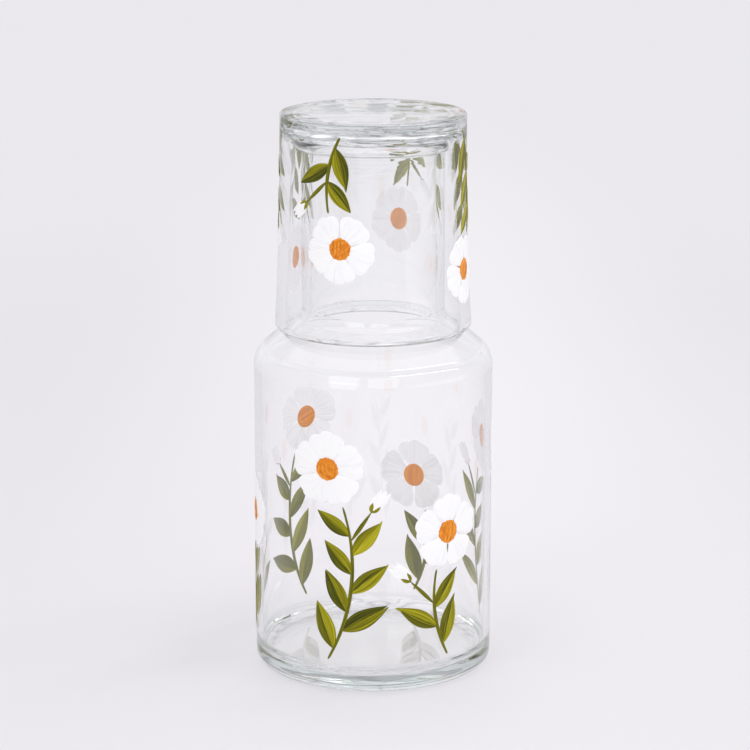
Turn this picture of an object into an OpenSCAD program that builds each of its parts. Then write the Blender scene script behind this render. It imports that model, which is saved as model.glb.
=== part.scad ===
// Bedside carafe with a tumbler that stands upside down over its neck.
// The origin is the centre of the foot, on the surface that the carafe stands on.

/* [Carafe body] */
// Outer diameter of the straight body
body_d = 84; // [80:1:100]
// Height at which the straight wall ends and the shoulder starts to turn in
body_h = 108.7; // [90:0.1:140]
// Thickness of the body's wall
body_wall = 2.2; // [1.6:0.1:3.2]
// Outer radius of the heel, where the wall turns under
heel_r = 4; // [2:0.5:7]
// Thickness of the floor at its edge
floor_t = 5.5; // [4:0.5:9]
// Inner radius between the floor and the wall
floor_turn_r = 5; // [2:0.5:8]
// Width of the flat ring that the carafe stands on
foot_ring_w = 4; // [2:0.5:8]
// Height of the hollow pushed up under the base
punt_h = 1.8; // [0.6:0.1:3.5]

/* [Carafe shoulder] */
// Slope of the shoulder under the horizontal, in degrees
shoulder_slope = 40; // [34:1:46]
// Outer radius of the turn between the wall and the shoulder
shoulder_r = 9; // [6:0.5:11]
// Thickness of the shoulder's wall
shoulder_wall = 3; // [2.4:0.1:4]

/* [Carafe neck] */
// Outer diameter of the neck
neck_d = 50; // [44:1:52]
// Thickness of the neck's wall
neck_wall = 3; // [2:0.1:4]
// Radius of the hollow turn from the shoulder into the neck
neck_foot_r = 4; // [2:0.5:6]
// Height of the neck above that turn, lip included
neck_h = 60.1; // [45:0.1:75]
// How far the rolled lip stands out from the neck
lip_stand = 2.2; // [1.6:0.1:3.4]
// Height of the rolled lip
lip_h = 4.2; // [3:0.1:4.8]
// Radius on the inner edge of the mouth
mouth_edge_r = 1.2; // [0.5:0.1:1.8]

/* [Tumbler] */
// Thickness of the tumbler's wall
tumbler_wall = 3.6; // [2.6:0.1:4.4]
// Thickness of the tumbler's base
tumbler_base_t = 4.2; // [3:0.1:9]
// How much wider the wall is at the rim than at the base, on the radius
tumbler_flare = 2; // [1:0.1:3]
// How far the fire-polished rim swells out of the wall on each side
rim_swell = 0.1; // [0.05:0.01:0.3]
// Radius of the outer edge of the base
tumbler_heel_r = 1.2; // [0.8:0.1:2.5]
// Inner radius between the base and the wall
tumbler_floor_turn_r = 3.3; // [2:0.1:5]
// Diameter of the shallow dish ground into the base
dish_d = 50; // [30:1:54]
// Depth of that dish
dish_h = 0.9; // [0.4:0.1:2]

/* [Fit of the tumbler over the neck] */
// Room between the lip and the narrow end of the tumbler's wall
lip_clear = 1.6; // [1:0.1:3]
// Room between the top of the lip and the inside of the tumbler's base
headroom = 4.1; // [2:0.1:8]
// Hair gap between the tumbler's rim and the shoulder that it rests on
seat_gap = 0.3; // [0.1:0.1:0.6]

/* [Enamel] */
// Thickness of the fired enamel
enamel_t = 0.25; // [0.2:0.05:0.5]
// Hair gap between the enamel and the glass
enamel_gap = 0.05; // [0.02:0.01:0.1]
// Gap between colours that meet
colour_gap = 0.3; // [0.2:0.1:0.6]
// Width of the line left clear between two petals
petal_slit_w = 0.5; // [0.3:0.1:1]
// Width of a brushed stem
stem_w = 1.3; // [0.8:0.1:2]

/* [Painting on the carafe] */
// Least distance from one sprig to the next round the body
body_sprig_pitch = 42; // [36:1:60]
// Diameter of a blossom
body_blossom_d = 27; // [20:1:30]
// Diameter of the orange eye of a blossom
body_eye_d = 8.5; // [6:0.5:11]
// Length of a leaf
body_leaf_l = 19; // [12:1:21]
// Width of a leaf
body_leaf_w = 7.5; // [4:0.5:8.5]
// Length of a bud
body_bud_l = 9; // [6:0.5:11]
// Turn of the whole painting round the body, in degrees
body_turn = -22; // [-90:1:90]

/* [Painting on the tumbler] */
// Least distance from one sprig to the next round the tumbler
tumbler_sprig_pitch = 44; // [30:1:60]
// Diameter of a blossom
tumbler_blossom_d = 25; // [16:1:26]
// Diameter of the orange eye of a blossom
tumbler_eye_d = 8; // [5:0.5:9]
// Length of a leaf
tumbler_leaf_l = 16; // [9:1:17]
// Width of a leaf
tumbler_leaf_w = 6.5; // [3:0.5:7]
// Length of a bud
tumbler_bud_l = 8; // [5:0.5:9]
// Turn of the whole painting round the tumbler, in degrees
tumbler_turn = 200; // [90:1:270]

/* [Hidden] */
$fn = 96;
wide_arc_fn = 1440;
overrun = 1;

body_r = body_d / 2;
inner_r = body_r - body_wall;
neck_r = neck_d / 2;
mouth_r = neck_r - neck_wall;
lip_r = neck_r + lip_stand;

// The shoulder is a straight slope, and this points out of it
slope_out = [sin(shoulder_slope), cos(shoulder_slope)];
// Where the shoulder's turn ends and the slope starts
slope_foot = [body_r - shoulder_r, body_h] + shoulder_r * slope_out;
// Height of a slope through a point, at a distance from the axis
function slope_z(from, r) = from[1] + (from[0] - r) * tan(shoulder_slope);
// Height at which a round turn of radius turn_r leaves the slope for an upright wall at r
function foot_turn_z(from, r, turn_r) =
    slope_z(from, r + turn_r * (1 - slope_out[0])) + turn_r * slope_out[1];
// Radius of the arc that rises by h over half a chord c
function arc_r(c, h) = (c * c + h * h) / (2 * h);

// The inside of the shoulder lies under the outside by the shoulder's own wall
inner_turn_r = shoulder_r - body_wall;
inner_turn_z = body_h - (shoulder_wall - body_wall) / slope_out[1];
carafe_h = foot_turn_z(slope_foot, neck_r, neck_foot_r) + neck_h;
punt_r = body_r - heel_r - foot_ring_w;

// The tumbler's wall rises straight past the turn inside it, and then follows two arcs about one far centre
top_z = carafe_h + headroom + tumbler_base_t;
rim_round = tumbler_wall / 2 + rim_swell;
narrow_r = lip_r + lip_clear;
base_r = narrow_r + tumbler_wall;
rim_mid_r = narrow_r + tumbler_wall / 2 + tumbler_flare;
rim_mid_z = slope_z(slope_foot, rim_mid_r) + (rim_round + seat_gap) / slope_out[1];
tumbler_h = top_z - rim_mid_z + rim_round;
rim_centre = [rim_mid_r, top_z - rim_mid_z];
flare_z = tumbler_base_t + tumbler_floor_turn_r;
wall_rise = rim_centre[1] - flare_z;
mid_arc_r = arc_r(wall_rise, tumbler_flare);
outer_arc_r = mid_arc_r - tumbler_wall / 2;
inner_arc_r = mid_arc_r + tumbler_wall / 2;
arc_centre = [base_r + outer_arc_r, flare_z];

// Both paintings: heights are shares of the wall that carries them
body_foot_share = 0.11;
body_blossom_shares = [0.74, 0.52];
tumbler_foot_share = 0.06;
tumbler_blossom_shares = [0.56, 0.7];
petals = 5;
petal_share = 0.47;
stem_bulge_share = 0.13;
leaf_lean = 42;
first_leaf_share = 0.22;
leaf_step_share = 0.36;
leaf_taper_share = 0.3;
top_leaf_room_share = 0.35;
stalk_drop_share = 1.3;
stalk_lean = -40;
stalk_share = 1.4;
stalk_w_share = 0.75;
bud_w_share = 0.62;

// Half of a bottle's outline, from the axis out: a foot with a round corner, an upright wall, the shoulder's turn,
// its slope, a hollow turn and an upright neck
module bottle_outline(bottom_z, corner_r, wall_r, turn_r, turn_z, throat_r, foot_r, height) {
    turn_centre = [wall_r - turn_r, turn_z];
    slope_start = turn_centre + turn_r * slope_out;
    foot_centre = [throat_r + foot_r, foot_turn_z(slope_start, throat_r, foot_r)];
    difference() {
        union() {
            polygon([
                [0, bottom_z], [wall_r - corner_r, bottom_z], [wall_r, bottom_z + corner_r],
                [wall_r, turn_z], slope_start, foot_centre - foot_r * slope_out,
                [throat_r, foot_centre[1]], [throat_r, height], [0, height]
            ]);
            translate([wall_r - corner_r, bottom_z + corner_r])
                circle(r = corner_r);
            translate(turn_centre)
                circle(r = turn_r);
        }
        translate(foot_centre)
            circle(r = foot_r);
    }
}

// A wide round cap on the axis, from its base line up to its crown
module cap_outline(base_z, half_w, rise) {
    cap_r = arc_r(half_w, rise);
    intersection() {
        translate([0, base_z + rise - cap_r])
            circle(r = cap_r, $fn = wide_arc_fn);
        translate([0, base_z])
            square([half_w, rise]);
    }
}

module rolled_lip_outline() {
    bead_r = lip_h / 2;
    translate([0, carafe_h - lip_h])
        square([lip_r - bead_r, lip_h]);
    translate([lip_r - bead_r, carafe_h - bead_r])
        circle(r = bead_r);
}

// The sharp inner edge of the mouth, which the rounding takes away
module mouth_edge_outline() {
    difference() {
        translate([mouth_r - mouth_edge_r, carafe_h - mouth_edge_r])
            square([2 * mouth_edge_r, mouth_edge_r + overrun]);
        translate([mouth_r + mouth_edge_r, carafe_h - mouth_edge_r])
            circle(r = mouth_edge_r);
    }
}

module carafe() {
    color([0.8, 0.88, 0.88, 0.4])
        rotate_extrude()
            difference() {
                union() {
                    bottle_outline(0, heel_r, body_r, shoulder_r, body_h, neck_r, neck_foot_r, carafe_h);
                    rolled_lip_outline();
                }
                difference() {
                    bottle_outline(
                        floor_t, floor_turn_r, inner_r, inner_turn_r, inner_turn_z,
                        mouth_r, neck_foot_r + neck_wall, carafe_h + overrun
                    );
                    cap_outline(floor_t, inner_r - floor_turn_r, punt_h);
                }
                cap_outline(0, punt_r, punt_h);
                mouth_edge_outline();
            }
}

// All that lies past the line across the wall through the middle of its round rim
module past_rim_line() {
    across = (arc_centre - rim_centre) / mid_arc_r * tumbler_wall;
    up = [0, 2 * tumbler_wall];
    polygon([rim_centre - across, rim_centre + across, rim_centre + across + up, rim_centre - across + up]);
}

// The hollow of the tumbler, with the tumbler the right way up
module tumbler_hollow_outline() {
    turn_x = narrow_r - tumbler_floor_turn_r;
    translate([0, tumbler_base_t])
        square([turn_x, tumbler_h]);
    translate([turn_x, flare_z])
        circle(r = tumbler_floor_turn_r);
    difference() {
        translate([0, flare_z])
            square([rim_mid_r + tumbler_wall, tumbler_h]);
        translate(arc_centre)
            circle(r = inner_arc_r, $fn = wide_arc_fn);
    }
}

module tumbler_outline() {
    difference() {
        union() {
            square([base_r - tumbler_heel_r, tumbler_heel_r]);
            translate([base_r - tumbler_heel_r, tumbler_heel_r])
                circle(r = tumbler_heel_r);
            translate([0, tumbler_heel_r])
                square([base_r, flare_z - tumbler_heel_r]);
            difference() {
                translate([0, flare_z])
                    square([rim_mid_r + tumbler_wall, wall_rise + tumbler_wall]);
                translate(arc_centre)
                    circle(r = outer_arc_r, $fn = wide_arc_fn);
            }
        }
        tumbler_hollow_outline();
        past_rim_line();
        cap_outline(0, dish_d / 2, dish_h);
    }
    translate(rim_centre)
        circle(r = rim_round);
}

// Turns a tumbler that is drawn the right way up on to its seat
module upside_down_over_neck() {
    translate([0, 0, top_z])
        rotate([180, 0, 0])
            children();
}

module tumbler() {
    color([0.78, 0.87, 0.88, 0.4])
        upside_down_over_neck()
            rotate_extrude()
                tumbler_outline();
}

// The thin coat round the carafe's straight wall that all its enamel is cut from
module body_coat() {
    rotate_extrude()
        translate([body_r + enamel_gap, heel_r])
            square([enamel_t, body_h - heel_r]);
}

// The same round the tumbler's flared wall
module tumbler_coat() {
    coat_arc_r = outer_arc_r - enamel_gap;
    rotate_extrude()
        intersection() {
            translate(arc_centre)
                difference() {
                    circle(r = coat_arc_r, $fn = wide_arc_fn);
                    circle(r = coat_arc_r - enamel_t, $fn = wide_arc_fn);
                }
            translate([0, tumbler_heel_r])
                square([rim_mid_r + tumbler_wall, rim_centre[1] - rim_round - tumbler_heel_r]);
        }
}

// Carries a flat outline from the axis out through the front of a wall, its X along the wall and its Y up
module through_front(z, wall_r) {
    translate([0, 0, z])
        rotate([90, 0, 0])
            linear_extrude(height = wall_r + overrun)
                children();
}

// Every other copy is drawn the other way round
module turned_about(i) {
    if (i % 2 == 0)
        children();
    else
        mirror([1, 0])
            children();
}

// A round blossom of five lobes, larger by grow
module blossom_outline(d, grow) {
    lobe_r = petal_share * d / 2;
    circle(r = lobe_r);
    for (i = [0 : petals - 1])
        rotate(90 + i * 360 / petals)
            translate([d / 2 - lobe_r, 0])
                circle(r = lobe_r + grow);
}

// The clear lines between the lobes
module petal_slits(d) {
    for (i = [0 : petals - 1])
        rotate(270 + i * 360 / petals)
            translate([0, -petal_slit_w / 2])
                square([d, petal_slit_w]);
}

// A pointed oval from the origin along X, larger by grow
module almond_outline(length, width, grow) {
    side_r = (length * length + width * width) / (4 * width);
    translate([length / 2, 0])
        intersection() {
            translate([0, side_r - width / 2])
                circle(r = side_r + grow);
            translate([0, width / 2 - side_r])
                circle(r = side_r + grow);
        }
}

// A stem is an arc from the origin straight up to height h that leans out to one side by a share of its height
function stem_arc_r(h) = arc_r(h / 2, stem_bulge_share * h);
function stem_x(h, y) = sqrt(pow(stem_arc_r(h), 2) - pow(y - h / 2, 2)) - stem_arc_r(h) + stem_bulge_share * h;
function stem_heading(h, y) = 90 + asin((y - h / 2) / stem_arc_r(h));

module stem_outline(h) {
    bulge = stem_bulge_share * h;
    intersection() {
        translate([bulge - stem_arc_r(h), h / 2])
            difference() {
                circle(r = stem_arc_r(h) + stem_w / 2);
                circle(r = stem_arc_r(h) - stem_w / 2);
            }
        translate([-stem_w, 0])
            square([bulge + 2 * stem_w, h]);
    }
}

// Places what is drawn along X on the stem, at a height and at an angle to it
module from_stem(h, y, lean) {
    translate([stem_x(h, y), y])
        rotate(stem_heading(h, y) + lean)
            children();
}

// A bud's stalk leaves the stem this far up, so that the bud comes up beside the blossom
function stalk_y(h, blossom_d, bud_l) = h - blossom_d / 2 - stalk_drop_share * bud_l;

// The stem, the leaves on both its sides, smaller towards the top, and the bud's stalk, with the white left out
module sprig_green(h, blossom_d, leaf_l, leaf_w, bud_l) {
    first_y = first_leaf_share * leaf_l;
    step = leaf_step_share * leaf_l;
    last_y = h - blossom_d / 2 - top_leaf_room_share * leaf_l;
    difference() {
        union() {
            stem_outline(h);
            for (k = [0 : max(1, floor((last_y - first_y) / step))]) {
                y = first_y + k * step;
                size = 1 - leaf_taper_share * y / h;
                from_stem(h, y, (k % 2 == 0 ? 1 : -1) * leaf_lean)
                    almond_outline(size * leaf_l, size * leaf_w, 0);
            }
            from_stem(h, stalk_y(h, blossom_d, bud_l), stalk_lean)
                translate([0, -stalk_w_share * stem_w / 2])
                    square([stalk_share * bud_l, stalk_w_share * stem_w]);
        }
        sprig_white(h, blossom_d, bud_l, colour_gap);
    }
}

// The bud at the end of its stalk and the blossom at the top of the stem
module sprig_white(h, blossom_d, bud_l, grow) {
    from_stem(h, stalk_y(h, blossom_d, bud_l), stalk_lean)
        translate([stalk_share * bud_l, 0])
            almond_outline(bud_l, bud_w_share * bud_l, grow);
    translate([0, h])
        blossom_outline(blossom_d, grow);
}

// The same with the petals parted and room for the eye
module sprig_petals(h, blossom_d, eye_d, bud_l) {
    difference() {
        sprig_white(h, blossom_d, bud_l, 0);
        translate([0, h]) {
            petal_slits(blossom_d / 2);
            circle(d = eye_d + 2 * colour_gap);
        }
    }
}

// Sprigs of two heights stand in turn round the body, so their number is even
body_sprigs = 2 * floor(PI * body_d / 2 / body_sprig_pitch);
body_foot_z = body_foot_share * body_h;
function body_stem_h(i) = body_blossom_shares[i % 2] * body_h - body_foot_z;

// Cuts what sprig i draws out of the coat round the body
module on_body(i) {
    rotate([0, 0, body_turn + i * 360 / body_sprigs])
        intersection() {
            body_coat();
            through_front(body_foot_z, body_r)
                turned_about(i)
                    children();
        }
}

// Sprigs of two heights grow in turn from the base of the tumbler
tumbler_sprigs = 2 * floor(PI * base_r / tumbler_sprig_pitch);
tumbler_foot_z = tumbler_foot_share * tumbler_h;
function tumbler_stem_h(i) = tumbler_blossom_shares[i % 2] * tumbler_h - tumbler_foot_z;

// Cuts what sprig i draws out of the coat round the tumbler
module on_tumbler(i) {
    upside_down_over_neck()
        rotate([0, 0, tumbler_turn + i * 360 / tumbler_sprigs])
            intersection() {
                tumbler_coat();
                through_front(tumbler_foot_z, base_r + tumbler_flare)
                    turned_about(i)
                        children();
            }
}

module carafe_petals() {
    color([0.95, 0.95, 0.93])
        for (i = [0 : body_sprigs - 1])
            on_body(i)
                sprig_petals(body_stem_h(i), body_blossom_d, body_eye_d, body_bud_l);
}

module carafe_flower_eyes() {
    color([0.93, 0.55, 0.08])
        for (i = [0 : body_sprigs - 1])
            on_body(i)
                translate([0, body_stem_h(i)])
                    circle(d = body_eye_d);
}

module carafe_foliage() {
    color([0.42, 0.45, 0.1])
        for (i = [0 : body_sprigs - 1])
            on_body(i)
                sprig_green(body_stem_h(i), body_blossom_d, body_leaf_l, body_leaf_w, body_bud_l);
}

module tumbler_petals() {
    color([0.95, 0.95, 0.93])
        for (i = [0 : tumbler_sprigs - 1])
            on_tumbler(i)
                sprig_petals(tumbler_stem_h(i), tumbler_blossom_d, tumbler_eye_d, tumbler_bud_l);
}

module tumbler_flower_eyes() {
    color([0.93, 0.55, 0.08])
        for (i = [0 : tumbler_sprigs - 1])
            on_tumbler(i)
                translate([0, tumbler_stem_h(i)])
                    circle(d = tumbler_eye_d);
}

module tumbler_foliage() {
    color([0.42, 0.45, 0.1])
        for (i = [0 : tumbler_sprigs - 1])
            on_tumbler(i)
                sprig_green(
                    tumbler_stem_h(i), tumbler_blossom_d, tumbler_leaf_l, tumbler_leaf_w, tumbler_bud_l
                );
}

carafe();
carafe_petals();
carafe_flower_eyes();
carafe_foliage();
tumbler();
tumbler_petals();
tumbler_flower_eyes();
tumbler_foliage();
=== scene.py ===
"""A bedside carafe with a tumbler turned over its neck: two clear glasses with flowers brushed on in enamel.

Everything is placed in metres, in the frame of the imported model: Z is up, and the carafe stands on the table
at Z 0. The sizes of the glasses and of the sprigs are written in millimetres, which MM turns into metres.
"""

import math
import random

import bmesh
import bpy
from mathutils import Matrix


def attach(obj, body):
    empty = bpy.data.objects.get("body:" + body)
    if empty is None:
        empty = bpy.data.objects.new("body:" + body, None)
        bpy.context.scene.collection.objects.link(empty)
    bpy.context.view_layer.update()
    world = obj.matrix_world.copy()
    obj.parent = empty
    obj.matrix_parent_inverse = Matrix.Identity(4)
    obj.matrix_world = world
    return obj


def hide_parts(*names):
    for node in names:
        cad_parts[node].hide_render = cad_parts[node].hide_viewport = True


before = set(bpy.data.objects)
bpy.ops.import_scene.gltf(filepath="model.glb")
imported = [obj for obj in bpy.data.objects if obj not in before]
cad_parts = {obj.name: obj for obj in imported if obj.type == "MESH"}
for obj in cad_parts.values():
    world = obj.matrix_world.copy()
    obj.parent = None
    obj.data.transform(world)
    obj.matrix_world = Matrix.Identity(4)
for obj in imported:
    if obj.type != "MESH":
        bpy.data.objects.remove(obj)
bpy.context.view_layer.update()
bpy.ops.object.select_all(action="DESELECT")

# The camera: a long lens on a tripod, nearly a metre in front of the set and a little above the tumbler. It
# looks down on to it, as the ellipses of base, rim and top show.
CAMERA_AT, CAMERA_TILT = (0.00065, -0.922, 0.3316), 76.125
LENS, FILM_W = 129.29, 36.0
bpy.ops.object.camera_add(location=CAMERA_AT, rotation=(math.radians(CAMERA_TILT), 0, 0))
camera = bpy.context.object
camera.data.lens = LENS
camera.data.sensor_width = FILM_W
bpy.context.scene.camera = camera
bpy.context.scene.view_settings.view_transform = "Standard"


# The table: a plain pale board under the set, matt and faintly lilac, that runs on without an edge. Close to
# the set it takes the light and the shadows, and far away it fades into the white room.
FLOOR_R, FLOOR_SIDES = 12.0, 96
FLOOR_BELOW = 0.00004
FADE_FROM, FADE_TO = 0.2, 0.9
# A painted pool of light: the table is paler in a long patch behind the set.
PAINTED_LIGHT_AT, PAINTED_LIGHT_SIZE = (0.02, 0.55, 0.0), (0.20, 0.95, 1.0)
HAZE_IN_PAINTED_LIGHT = (0.90, 0.885, 0.91, 1)
FAR_PALE = (0.825, 0.81, 0.85, 1)
BOARD_IN_PAINTED_LIGHT = (0.88, 0.865, 0.89, 1)
BOARD_PALE = (0.77, 0.755, 0.79, 1)
# Painted shade: what is left of a colour before the first turn that a ray takes in the glass, and after each.
PAINTED_TURN_SHADES = (
    (1.0, 1.0, 1.0, 1), (0.985, 0.985, 0.99, 1), (0.92, 0.93, 0.935, 1), (0.74, 0.76, 0.77, 1),
    (0.58, 0.60, 0.605, 1), (0.54, 0.56, 0.565, 1), (0.92, 0.94, 0.945, 1),
)


def add_node(tree, kind, settings, inputs):
    """Adds a shader node. An input's value is a number, a colour or the socket of another node."""
    made = tree.nodes.new("ShaderNode" + kind)
    for name, value in settings.items():
        setattr(made, name, value)
    for name, value in inputs.items():
        if isinstance(value, bpy.types.NodeSocket):
            tree.links.new(value, made.inputs[name])
        else:
            made.inputs[name].default_value = value
    return made


def add_ramp(tree, value, stops):
    """Turns a value into a colour: stops are pairs of a place from 0 to 1 and the colour there."""
    ramp = tree.nodes.new("ShaderNodeValToRGB")
    tree.links.new(value, ramp.inputs["Fac"])
    while len(ramp.color_ramp.elements) < len(stops):
        ramp.color_ramp.elements.new(1.0)
    for element, (place, colour) in zip(ramp.color_ramp.elements, stops):
        element.position = place
        element.color = colour
    return ramp.outputs["Color"]


def add_step(tree, value, low, high):
    """Turns a value into 0 up to one limit and 1 from the other on, with a smooth rise between them."""
    return add_node(
        tree, "MapRange", {"interpolation_type": "SMOOTHSTEP"},
        {"Value": value, "From Min": low, "From Max": high},
    ).outputs["Result"]


def add_product(tree, share, colour, other):
    """Multiplies a colour by a share of another one."""
    return add_node(
        tree, "Mix", {"data_type": "RGBA", "blend_type": "MULTIPLY"}, {0: share, 6: colour, 7: other}
    ).outputs[2]


def new_material(name):
    """An empty node material and its tree."""
    material = bpy.data.materials.new(name)
    material.use_nodes = True
    material.node_tree.nodes.clear()
    return material, material.node_tree


def painted_turn_shade(tree, colour):
    """A colour as glass shows it, with painted shade: each of the first turns that a ray takes in the glass
    makes it darker.

    What has gone round for longer is a mix from all over the tent, and the painted shade lifts to pale again."""
    ray = add_node(tree, "LightPath", {}, {})
    most = len(PAINTED_TURN_SHADES) - 1
    turns = add_node(tree, "MapRange", {}, {"Value": ray.outputs["Glossy Depth"], "From Max": float(most)})
    left = add_ramp(
        tree, turns.outputs["Result"], [(turn / most, shade) for turn, shade in enumerate(PAINTED_TURN_SHADES)]
    )
    return add_product(tree, 1.0, colour, left)


bpy.ops.mesh.primitive_circle_add(
    vertices=FLOOR_SIDES, radius=FLOOR_R, fill_type="NGON", location=(0, 0, -FLOOR_BELOW)
)
table = bpy.context.object
table.name = "table_top"
bpy.ops.object.transform_apply(location=True, rotation=True, scale=True)
board, tree = new_material("pale_board")
place = add_node(tree, "TexCoord", {}, {})
reach = add_node(tree, "VectorMath", {"operation": "LENGTH"}, {0: place.outputs["Object"]})
# Painted light: a pale patch on the table behind the set, fading out to the board's own colour.
from_painted_light = add_node(tree, "VectorMath", {"operation": "SUBTRACT"}, {0: place.outputs["Object"], 1: PAINTED_LIGHT_AT})
in_painted_light = add_node(
    tree, "VectorMath", {"operation": "DIVIDE"}, {0: from_painted_light.outputs["Vector"], 1: PAINTED_LIGHT_SIZE}
)
off_painted_light = add_node(tree, "VectorMath", {"operation": "LENGTH"}, {0: in_painted_light.outputs["Vector"]})
outside_painted_light = add_step(tree, off_painted_light.outputs["Value"], 0.0, 1.0)
# The table's colours carry the painted pool of light, and the painted shade after turns in the glass.
pale = painted_turn_shade(tree, add_ramp(tree, outside_painted_light, [(0.0, HAZE_IN_PAINTED_LIGHT), (1.0, FAR_PALE)]))
board_pale = painted_turn_shade(tree, add_ramp(tree, outside_painted_light, [(0.0, BOARD_IN_PAINTED_LIGHT), (1.0, BOARD_PALE)]))
matt = add_node(
    tree, "BsdfPrincipled", {}, {"Base Color": board_pale, "Roughness": 0.7, "Specular IOR Level": 0.1}
)
haze = add_node(tree, "Emission", {}, {"Color": pale, "Strength": 1.0})
fade = add_step(tree, reach.outputs["Value"], FADE_FROM, FADE_TO)
blend = add_node(tree, "MixShader", {}, {0: fade, 1: matt.outputs["BSDF"], 2: haze.outputs["Emission"]})
add_node(tree, "OutputMaterial", {}, {"Surface": blend.outputs["Shader"]})
table.data.materials.append(board)


# The room: a white tent round the table. It lights everything evenly. What the glass reflects and bends is
# brightest a little above the table and darker overhead, which is what draws the glass's edges.
ROOM_LIGHT = (0.99, 0.98, 1.0, 1)
ROOM_LEVEL = 0.72
TENT_BANDS = [
    (0.0, (0.84, 0.82, 0.86, 1)), (0.22, (0.95, 0.94, 0.96, 1)), (0.42, (0.90, 0.89, 0.91, 1)),
    (0.60, (0.80, 0.80, 0.81, 1)), (0.80, (0.78, 0.78, 0.79, 1)), (1.0, (0.86, 0.86, 0.86, 1)),
]
BOUNCES = 32
room = bpy.data.worlds.new("white_tent")
bpy.context.scene.world = room
room.use_nodes = True
tree = room.node_tree
tree.nodes.clear()
ray = add_node(tree, "LightPath", {}, {})
way = add_node(tree, "TexCoord", {}, {})
height = add_node(tree, "SeparateXYZ", {}, {0: way.outputs["Generated"]})
# What the glass shows of the tent also takes the painted shade after turns in the glass.
surround = painted_turn_shade(tree, add_ramp(tree, height.outputs["Z"], TENT_BANDS))
lit = add_node(tree, "Background", {}, {"Color": ROOM_LIGHT, "Strength": ROOM_LEVEL})
mirrored = add_node(tree, "Background", {}, {"Color": surround, "Strength": 1.0})
backdrop = add_node(tree, "Background", {}, {"Color": FAR_PALE, "Strength": 1.0})
in_glass = add_node(
    tree, "Math", {"operation": "MAXIMUM"},
    {0: ray.outputs["Is Glossy Ray"], 1: ray.outputs["Is Transmission Ray"]},
)
seen = add_node(
    tree, "MixShader", {},
    {0: in_glass.outputs["Value"], 1: lit.outputs["Background"], 2: mirrored.outputs["Background"]},
)
shown = add_node(
    tree, "MixShader", {},
    {0: ray.outputs["Is Camera Ray"], 1: seen.outputs["Shader"], 2: backdrop.outputs["Background"]},
)
add_node(tree, "OutputWorld", {}, {"Surface": shown.outputs["Shader"]})
for kind in ("max_bounces", "glossy_bounces", "transmission_bounces", "transparent_max_bounces"):
    setattr(bpy.context.scene.cycles, kind, BOUNCES)

# The lamps: a wide soft box overhead, two boxes in front, a strip high at right that lights the table behind,
# and two low white boards at right that lift the shadow on the table. The boxes' reflections are the pale
# patches on the carafe's shoulder. The camera sees no lamp, and no low board shows through the glass.
for name, at, aim, wide, high, level in (
    ("overhead_box", (0.0, 0.1, 1.3), (0.0, 0.0, 0.0), 2.2, 2.2, 0.38),
    ("left_box", (-0.75, -1.3, 0.85), (0.0, 0.0, 0.1), 0.8, 0.8, 1.8),
    ("front_box", (0.3, -1.6, 1.0), (0.0, 0.0, 0.1), 0.9, 0.6, 1.6),
    ("right_strip", (0.85, 0.10, 1.3), (0.27, 0.72, 0.1), 1.6, 0.12, 6.0),
    ("low_right_board", (0.74, -0.34, 0.12), (0.0, 0.0, 0.12), 0.84, 0.2, 0.6),
    ("low_right_spill", (0.80, -0.38, 0.14), (0.0, 0.0, 0.14), 1.24, 0.24, 0.4),
):
    run = [b - a for a, b in zip(at, aim)]
    lean = math.acos(-run[2] / math.dist(at, aim))
    swing = math.atan2(-run[0], run[1])
    bpy.ops.object.light_add(type="AREA", location=at, rotation=(lean, 0, swing))
    lamp = bpy.context.object
    lamp.name = name
    lamp.data.shape = "RECTANGLE"
    lamp.data.size = wide
    lamp.data.size_y = high
    lamp.data.energy = level * math.pi * wide * high
    lamp.visible_camera = False
    lamp.visible_transmission = not name.startswith("low_right")


# The carafe: one piece of clear glass, blown and turned, with a heavy floor hollowed underneath, a sloped
# shoulder and a rim rolled outwards. Its wall is drawn as one closed outline and spun round the axis.
MM = 0.001
BODY_R, SHOULDER_SLOPE = 42.0, 40.0
NECK_R, MOUTH_R, INSIDE_R = 25.0, 22.0, 39.8
LIP_R, LIP_H, LIP_TOP = 27.2, 4.2, 189.13
FOOT_R, PUNT_H, FLOOR_T, FLOOR_TURN = 34.0, 1.8, 5.5, 5.0
HEEL_TURN, SHOULDER_TURN, NECK_TURN, MOUTH_TURN = 4.0, 9.0, 4.0, 1.2
SHOULDER_WALL, SHOULDER_TURN_INSIDE, NECK_TURN_INSIDE = 3.0, 6.8, 7.0
SLOPE_STARTS_R, SLOPE_STARTS_Z = 38.785, 115.594
HAIR = 0.005
TURN_STEPS, CURVE_STEPS, DOME_STEPS = 192, 14, 8
SAME_POINT, SAME_CORNER = 2e-6, 1e-7


def pick(chosen):
    """Selects those points of the mesh in edit mode that the test chooses."""
    bpy.ops.mesh.select_all(action="DESELECT")
    points = bmesh.from_edit_mesh(bpy.context.edit_object.data)
    points.verts.index_update()
    for point in points.verts:
        point.select = chosen(point)
    points.select_flush(True)
    bmesh.update_edit_mesh(bpy.context.edit_object.data)


def add_modifier(piece, kind, **settings):
    """Adds a modifier to the active piece and applies it."""
    bpy.ops.object.modifier_add(type=kind)
    modifier = piece.modifiers[-1]
    for name, value in settings.items():
        setattr(modifier, name, value)
    bpy.ops.object.modifier_apply(modifier=modifier.name)


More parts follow.
